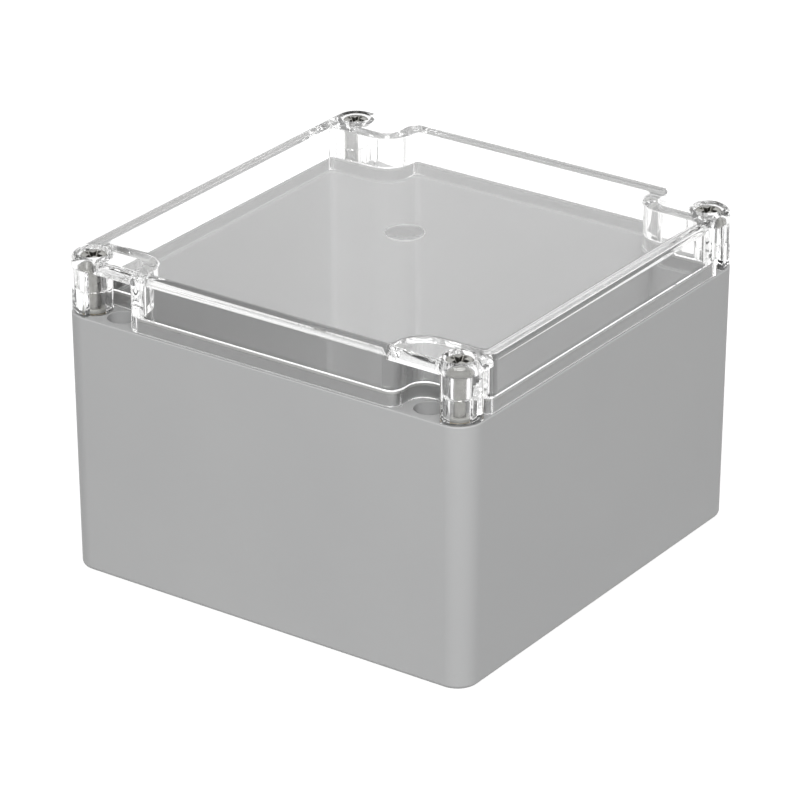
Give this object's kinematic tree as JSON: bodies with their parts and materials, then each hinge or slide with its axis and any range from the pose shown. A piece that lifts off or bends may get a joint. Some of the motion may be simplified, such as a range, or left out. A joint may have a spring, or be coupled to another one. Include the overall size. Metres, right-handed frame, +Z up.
{
  "type": "polycarbonate enclosure",
  "caption": "Sealed box with a deep grey plastic tub and a clear lid on a gasket, held by captive corner screws, for housing a circuit.",
  "frame": {"origin": "centre of the tub's underside, on the surface that it stands on", "axes": "+Z up towards the clear lid, which is the shortest extent; +Y along the 122 mm side towards the rear; +X along the 120 mm side to the right"},
  "size_m": [0.12, 0.122, 0.085],
  "materials": {
    "grey_polycarbonate": "light grey moulded plastic with a fine spark-eroded texture",
    "clear_polycarbonate": "polished clear polycarbonate",
    "seal": "foamed pale seal",
    "stainless_screw": "plain stainless steel, turned and rolled",
    "nylon_ring": "natural nylon",
    "brass_insert": "plain turned brass"
  },
  "bodies": {
    "base": {"enclosure_base": "grey_polycarbonate", "threaded_insert_front_left": "brass_insert", "threaded_insert_front_right": "brass_insert", "threaded_insert_rear_left": "brass_insert", "threaded_insert_rear_right": "brass_insert"},
    "lid": {"clear_lid": "clear_polycarbonate", "lid_gasket": "seal"},
    "ring_front_left": {"retaining_ring_front_left": "nylon_ring"},
    "screw_front_left": {"lid_screw_front_left": "stainless_screw"},
    "ring_front_right": {"retaining_ring_front_right": "nylon_ring"},
    "screw_front_right": {"lid_screw_front_right": "stainless_screw"},
    "ring_rear_left": {"retaining_ring_rear_left": "nylon_ring"},
    "screw_rear_left": {"lid_screw_rear_left": "stainless_screw"},
    "ring_rear_right": {"retaining_ring_rear_right": "nylon_ring"},
    "screw_rear_right": {"lid_screw_rear_right": "stainless_screw"}
  },
  "joints": [
    {"name": "lid_lift", "type": "slide", "parent": "base", "child": "lid", "axis": [0, 0, 1], "range_m": [0, 0.06]},
    {"name": "screw_travel_front_left", "type": "slide", "parent": "lid", "child": "ring_front_left", "axis": [0, 0, 1], "range_m": [0, 0.0046]},
    {"name": "screw_turn_front_left", "type": "hinge", "parent": "ring_front_left", "child": "screw_front_left", "pos_m": [-0.054, -0.055, 0.08125], "axis": [0, 0, 1], "range_deg": [0, 2366]},
    {"name": "screw_travel_front_right", "type": "slide", "parent": "lid", "child": "ring_front_right", "axis": [0, 0, 1], "range_m": [0, 0.0046]},
    {"name": "screw_turn_front_right", "type": "hinge", "parent": "ring_front_right", "child": "screw_front_right", "pos_m": [0.054, -0.055, 0.08125], "axis": [0, 0, 1], "range_deg": [0, 2366]},
    {"name": "screw_travel_rear_left", "type": "slide", "parent": "lid", "child": "ring_rear_left", "axis": [0, 0, 1], "range_m": [0, 0.0046]},
    {"name": "screw_turn_rear_left", "type": "hinge", "parent": "ring_rear_left", "child": "screw_rear_left", "pos_m": [-0.054, 0.055, 0.08125], "axis": [0, 0, 1], "range_deg": [0, 2366]},
    {"name": "screw_travel_rear_right", "type": "slide", "parent": "lid", "child": "ring_rear_right", "axis": [0, 0, 1], "range_m": [0, 0.0046]},
    {"name": "screw_turn_rear_right", "type": "hinge", "parent": "ring_rear_right", "child": "screw_rear_right", "pos_m": [0.054, 0.055, 0.08125], "axis": [0, 0, 1], "range_deg": [0, 2366]}
  ],
  "couplings": [
    {"joint": "screw_turn_front_left", "follows": "screw_travel_front_left", "rad_per_m": 8976},
    {"joint": "screw_turn_front_right", "follows": "screw_travel_front_right", "rad_per_m": 8976},
    {"joint": "screw_turn_rear_left", "follows": "screw_travel_rear_left", "rad_per_m": 8976},
    {"joint": "screw_turn_rear_right", "follows": "screw_travel_rear_right", "rad_per_m": 8976}
  ]
}
